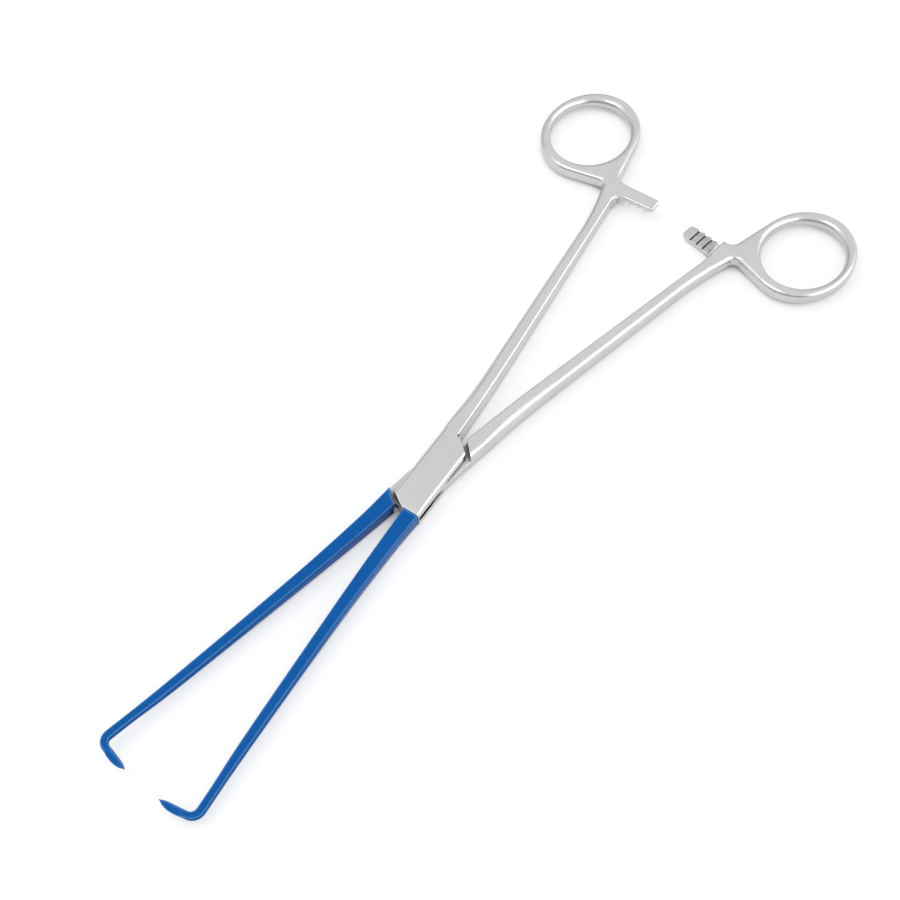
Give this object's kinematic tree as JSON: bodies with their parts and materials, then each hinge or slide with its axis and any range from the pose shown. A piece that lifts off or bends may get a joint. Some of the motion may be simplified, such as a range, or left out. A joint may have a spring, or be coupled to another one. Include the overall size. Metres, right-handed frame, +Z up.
{
  "type": "single tooth tenaculum",
  "caption": "Box-lock tissue forceps with finger rings, a ratchet and long insulated jaws that end in sharp inward hooks.",
  "frame": {"origin": "on the pivot axis, in the plane of the box joint's underside", "axes": "+X along the centre line towards the jaws, +Y towards the male half's finger ring, +Z up along the pivot axis"},
  "size_m": [0.2465, 0.1022, 0.0058],
  "materials": {
    "steel": "satin stainless steel",
    "coating": "glossy blue insulation"
  },
  "bodies": {
    "female_body": {"female_half": "steel", "joint_pin": "steel", "female_coating": "coating"},
    "male_body": {"male_half": "steel", "male_coating": "coating"}
  },
  "joints": [
    {"name": "box_joint", "type": "hinge", "parent": "female_body", "child": "male_body", "pos_m": [0, 0, 0.0029], "axis": [0, 0, -1], "range_deg": [-9.8, 2.2]}
  ]
}
